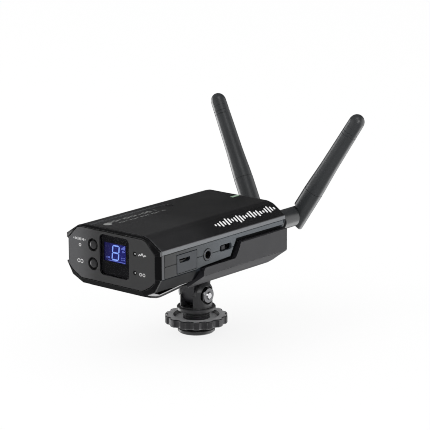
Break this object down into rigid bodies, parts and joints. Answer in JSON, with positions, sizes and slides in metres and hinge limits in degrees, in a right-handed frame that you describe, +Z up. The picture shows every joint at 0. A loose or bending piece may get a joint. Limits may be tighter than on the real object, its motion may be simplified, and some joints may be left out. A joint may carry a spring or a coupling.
{
  "type": "wireless audio receiver unit",
  "caption": "Camera-mount wireless audio receiver: octagonal case with lit display, buttons and side ports, folding antennas at the rear, on a tilting shoe mount with a lock wheel.",
  "frame": {"origin": "centre of the underside of the shoe foot", "axes": "+Z up along the threaded stem, -Y towards the display end, +Y towards the antennas, +X towards the connector side"},
  "size_m": [0.0952, 0.1329, 0.1016],
  "materials": {
    "top_shell": "fine satin texture",
    "case_grey": "fine satin texture",
    "bottom_shell": "fine satin texture",
    "frame_black": "satin",
    "plate_grey": "satin",
    "window_glass": "polished",
    "mask_black": "gloss",
    "lcd_blue": "lit from behind",
    "light_guide": "clear moulding",
    "button_black": "polished",
    "guide_grey": "moulded",
    "pipe_white": "translucent",
    "pipe_green": "translucent",
    "led_white": "lens",
    "board_green": "solder mask",
    "chip_black": "moulded",
    "tin_plate": "tinned",
    "screw_steel": "zinc plated",
    "nut_bright": "bright plated",
    "bolt_black": "black oxide",
    "brass": "turned",
    "cell_wrap": "foil pouch",
    "foam": "foam",
    "lead_black": "insulated",
    "socket_black": "moulded",
    "trim_steel": "bright",
    "port_grey": "satin",
    "knob_grey": "satin",
    "antenna_shell": "satin",
    "cradle_grey": "satin powder coat",
    "tongue_black": "satin",
    "mount_black": "satin anodised",
    "wheel_black": "satin anodised",
    "washer_black": "moulded"
  },
  "bodies": {
    "shoe": {"shoe_base": "mount_black", "tilt_bolt": "bolt_black", "tilt_nut": "nut_bright"},
    "cradle": {"mount_cradle": "cradle_grey", "latch_pin": "screw_steel"},
    "receiver": {"antenna_leads": "lead_black", "antenna_nuts": "brass", "audio_jack": "socket_black", "battery_cell": "cell_wrap", "battery_leads": "lead_black", "battery_pad": "foam", "board_chips": "chip_black", "board_link": "socket_black", "bottom_cover": "bottom_shell", "button_guides": "guide_grey", "case_screws": "screw_steel", "display_board": "board_green", "display_standoffs": "brass", "display_window": "window_glass", "front_frame": "frame_black", "front_plate": "plate_grey", "indicator_leds": "led_white", "jack_trim_ring": "trim_steel", "lcd_backlight": "light_guide", "lcd_glass": "lcd_blue", "led_light_pipes": "pipe_white", "left_antenna_base": "antenna_shell", "lower_case": "case_grey", "main_board": "board_green", "port_panel": "port_grey", "power_switch_body": "socket_black", "rear_cap": "bottom_shell", "rear_light_pipe": "pipe_green", "rf_shield": "tin_plate", "right_antenna_base": "antenna_shell", "small_screws": "screw_steel", "tact_switches": "chip_black", "top_cover": "top_shell", "upper_case": "case_grey", "usb_port_shell": "tin_plate", "usb_port_tongue": "chip_black", "window_mask": "mask_black"},
    "washer": {"clamp_washer": "washer_black"},
    "wheel": {"lock_wheel": "wheel_black"},
    "latch": {"latch_tongue": "tongue_black"},
    "system_key": {"system_button": "button_black"},
    "pair_key": {"pair_button": "button_black"},
    "power_slider": {"power_switch_knob": "knob_grey"},
    "right_swivel": {"right_antenna_swivel": "antenna_shell", "right_hinge_pin": "bolt_black"},
    "right_mast": {"right_antenna_foot": "antenna_shell", "right_antenna_sleeve": "antenna_shell", "right_antenna_tip": "antenna_shell", "right_antenna_element": "brass"},
    "left_swivel": {"left_antenna_swivel": "antenna_shell", "left_hinge_pin": "bolt_black"},
    "left_mast": {"left_antenna_foot": "antenna_shell", "left_antenna_sleeve": "antenna_shell", "left_antenna_tip": "antenna_shell", "left_antenna_element": "brass"}
  },
  "joints": [
    {"name": "cradle_tilt", "type": "hinge", "parent": "shoe", "child": "cradle", "pos_m": [0, 0, 0.0191], "axis": [1, 0, 0], "range_deg": [-60, 60]},
    {"name": "receiver_slide", "type": "slide", "parent": "cradle", "child": "receiver", "axis": [0, -1, 0], "range_m": [0, 0.014]},
    {"name": "latch_flex", "type": "hinge", "parent": "cradle", "child": "latch", "pos_m": [0, -0.0238, 0.0326], "axis": [1, 0, 0], "range_deg": [0, 6], "stiffness_Nm_per_rad": 0.02},
    {"name": "wheel_travel", "type": "slide", "parent": "shoe", "child": "washer", "axis": [0, 0, 1], "range_m": [-0.0008, 0.0022]},
    {"name": "wheel_spin", "type": "hinge", "parent": "washer", "child": "wheel", "pos_m": [0, 0, 0.0065], "axis": [0, 0, 1], "range_deg": [-288.1, 792.1]},
    {"name": "system_button_press", "type": "slide", "parent": "receiver", "child": "system_key", "axis": [0, 1, 0], "range_m": [0, 0.0005], "stiffness_N_per_m": 300},
    {"name": "pair_button_press", "type": "slide", "parent": "receiver", "child": "pair_key", "axis": [0, 1, 0], "range_m": [0, 0.0005], "stiffness_N_per_m": 300},
    {"name": "power_switch_slide", "type": "slide", "parent": "receiver", "child": "power_slider", "axis": [0, 1, 0], "range_m": [0, 0.0028]},
    {"name": "right_antenna_swivel_joint", "type": "hinge", "parent": "receiver", "child": "right_swivel", "pos_m": [0.0149, 0.0522, 0.0485], "axis": [0, 1, 0], "range_deg": [-30.4, 89.6]},
    {"name": "right_antenna_fold", "type": "hinge", "parent": "right_swivel", "child": "right_mast", "pos_m": [0.0149, 0.0612, 0.0485], "axis": [0.8625, 0, -0.506], "range_deg": [-78, 10]},
    {"name": "left_antenna_swivel_joint", "type": "hinge", "parent": "receiver", "child": "left_swivel", "pos_m": [-0.0149, 0.0522, 0.0485], "axis": [0, 1, 0], "range_deg": [-89.6, 30.4]},
    {"name": "left_antenna_fold", "type": "hinge", "parent": "left_swivel", "child": "left_mast", "pos_m": [-0.0149, 0.0612, 0.0485], "axis": [0.8625, 0, 0.506], "range_deg": [-78, 10]}
  ],
  "couplings": [
    {"joint": "wheel_spin", "follows": "wheel_travel", "rad_per_m": 6283.2}
  ]
}
